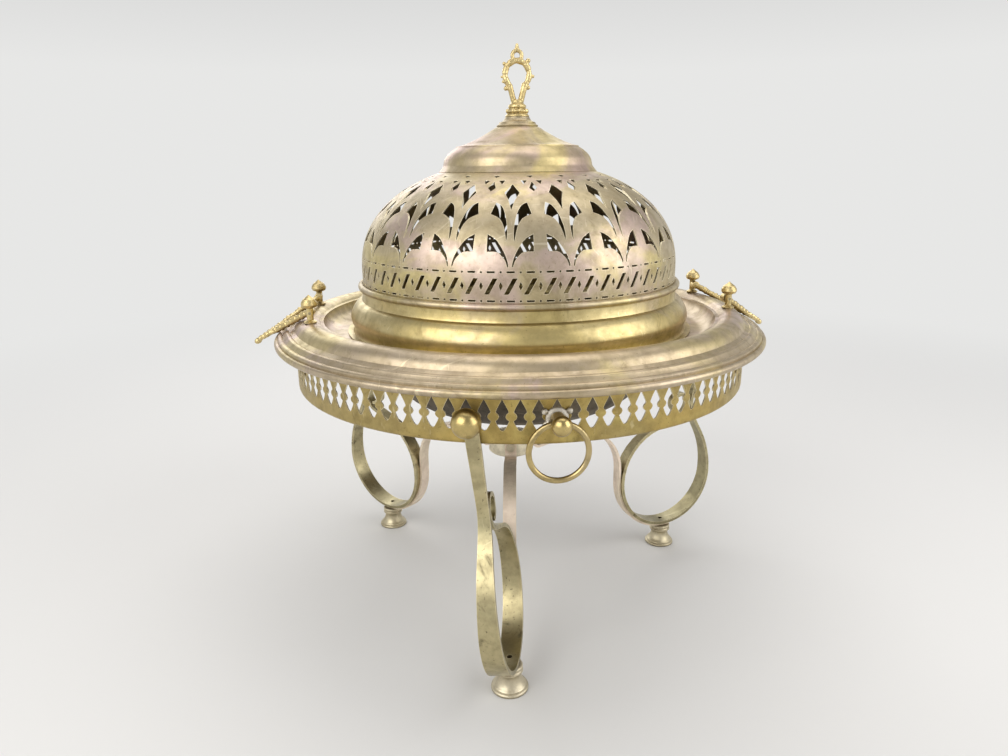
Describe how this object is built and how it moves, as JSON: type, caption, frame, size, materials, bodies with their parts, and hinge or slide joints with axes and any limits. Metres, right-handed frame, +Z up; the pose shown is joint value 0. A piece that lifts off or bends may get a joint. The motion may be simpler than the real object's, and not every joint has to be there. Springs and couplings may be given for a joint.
{
  "type": "charcoal brazier",
  "caption": "Round brass charcoal brazier with a wide rolled rim, pierced gallery and dome lid, pointed finial, bail handles, drop rings and scrolled strap legs on turned feet.",
  "frame": {"origin": "on the floor, below the middle of the object's bounding box", "axes": "+Z up along the pan's axis, -Y towards the front drop ring, +X towards the right bail handle"},
  "size_m": [0.5447, 0.5235, 0.5655],
  "materials": {
    "dull_brass": "satin, greyed by handling",
    "yellow_brass": "satin",
    "polished_brass": "smooth, softly polished",
    "strap_brass": "satin, brown in the bends",
    "pink_brass": "satin, reddish",
    "cast_brass": "rough casting, pale",
    "cast_gold_brass": "rough casting, bright",
    "sooty_brass": "dark and sooty inside"
  },
  "bodies": {
    "stand": {"gallery_band": "yellow_brass", "gallery_edge_wire": "yellow_brass", "leg_front": "strap_brass", "leg_right": "strap_brass", "leg_left": "strap_brass", "brace_front": "pink_brass", "brace_right": "pink_brass", "brace_left": "pink_brass", "foot_front": "cast_brass", "foot_right": "cast_brass", "foot_left": "cast_brass", "leg_knob_front": "polished_brass", "leg_knob_right": "polished_brass", "leg_knob_left": "polished_brass", "leg_knob_nuts": "polished_brass", "hub": "strap_brass", "hub_screws": "strap_brass", "rosette_front": "cast_brass", "rosette_rear": "cast_brass", "ring_post_front": "polished_brass", "ring_post_rear": "polished_brass", "ring_post_nuts": "polished_brass"},
    "front_ring": {"drop_ring_front": "polished_brass"},
    "rear_ring": {"drop_ring_rear": "polished_brass"},
    "pan": {"rim_dish": "dull_brass", "coal_bowl": "sooty_brass", "bowl_rivets": "sooty_brass", "handle_post_left_front": "cast_gold_brass", "handle_post_left_rear": "cast_gold_brass", "handle_post_right_front": "cast_gold_brass", "handle_post_right_rear": "cast_gold_brass", "handle_post_nuts": "dull_brass", "handle_pins_left": "cast_gold_brass", "handle_pins_right": "cast_gold_brass"},
    "left_handle": {"handle_left": "cast_gold_brass"},
    "right_handle": {"handle_right": "cast_gold_brass"},
    "lid": {"lid_skirt": "yellow_brass", "lid_bead": "dull_brass", "pierced_dome": "dull_brass", "dome_cap": "dull_brass", "finial_collar": "cast_gold_brass", "finial": "cast_gold_brass", "finial_nut": "dull_brass"}
  },
  "joints": [
    {"name": "pan_lift", "type": "slide", "parent": "stand", "child": "pan", "axis": [0, 0, 1], "range_m": [0, 0.15]},
    {"name": "lid_lift", "type": "slide", "parent": "pan", "child": "lid", "axis": [0, 0, 1], "range_m": [0, 0.15]},
    {"name": "left_handle_hinge", "type": "hinge", "parent": "pan", "child": "left_handle", "pos_m": [-0.20918, -0.00913, 0.3199], "axis": [-0.0436, 0.999, 0], "range_deg": [0, 130]},
    {"name": "right_handle_hinge", "type": "hinge", "parent": "pan", "child": "right_handle", "pos_m": [0.20938, 0, 0.3199], "axis": [0, -1, 0], "range_deg": [0, 130]},
    {"name": "front_ring_hinge", "type": "hinge", "parent": "stand", "child": "front_ring", "pos_m": [0, -0.2392, 0.262], "axis": [-1, 0, 0], "range_deg": [-5, 120]},
    {"name": "rear_ring_hinge", "type": "hinge", "parent": "stand", "child": "rear_ring", "pos_m": [0, 0.2392, 0.262], "axis": [1, 0, 0], "range_deg": [-5, 120]}
  ]
}
